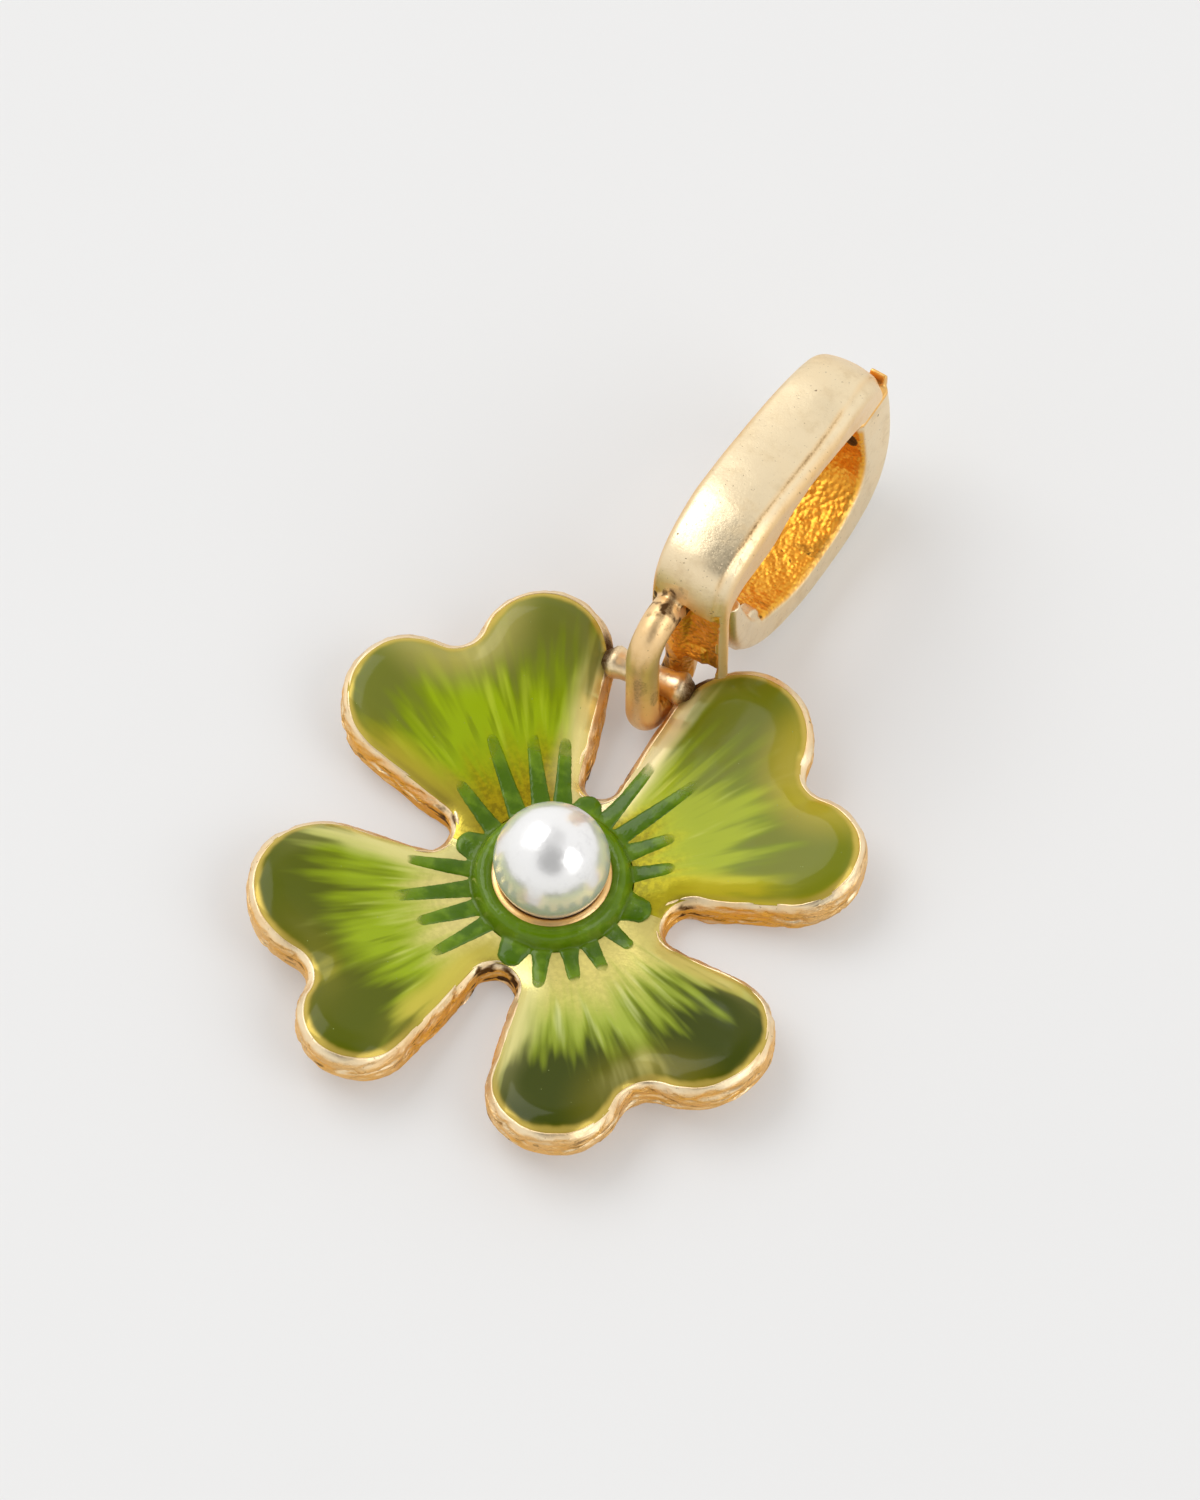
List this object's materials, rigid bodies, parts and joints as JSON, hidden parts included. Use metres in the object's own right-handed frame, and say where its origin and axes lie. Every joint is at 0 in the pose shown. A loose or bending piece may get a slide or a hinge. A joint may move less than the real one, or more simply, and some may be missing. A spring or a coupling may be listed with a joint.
{
  "type": "clover charm",
  "caption": "Cast four-leaf clover charm with dished enamel leaves round a domed pearl, hung by a long eye from a bail whose back is a hinged gate.",
  "frame": {"origin": "middle of the round pad on the clover's back, which the charm lies on", "axes": "+Z out of the clover's face, +Y from the pearl towards the bail, +X to the right with the bail at the top"},
  "size_m": [0.0193, 0.0305, 0.0092],
  "materials": {
    "gold": "satin gold plate",
    "leaf_enamel": "glossy translucent enamel, dark olive at the lobes, lime at the middle",
    "hub_enamel": "glossy green enamel",
    "pearl": "pearl lustre"
  },
  "bodies": {
    "clover": {"clover_base": "gold", "enamel_leaf_1": "leaf_enamel", "enamel_leaf_2": "leaf_enamel", "enamel_leaf_3": "leaf_enamel", "enamel_leaf_4": "leaf_enamel", "enamel_hub": "hub_enamel", "pearl": "pearl"},
    "bail": {"bail_frame": "gold", "hinge_pin": "gold"},
    "gate": {"bail_gate": "gold"}
  },
  "joints": [
    {"name": "bail_swing", "type": "hinge", "parent": "clover", "child": "bail", "pos_m": [0, 0.00822, 0.00192], "axis": [1, 0, 0], "range_deg": [0, 60]},
    {"name": "gate_hinge", "type": "hinge", "parent": "bail", "child": "gate", "pos_m": [0.0012, 0.01089, 0.0029], "axis": [-0.993, 0.1184, 0], "range_deg": [0, 30]}
  ]
}
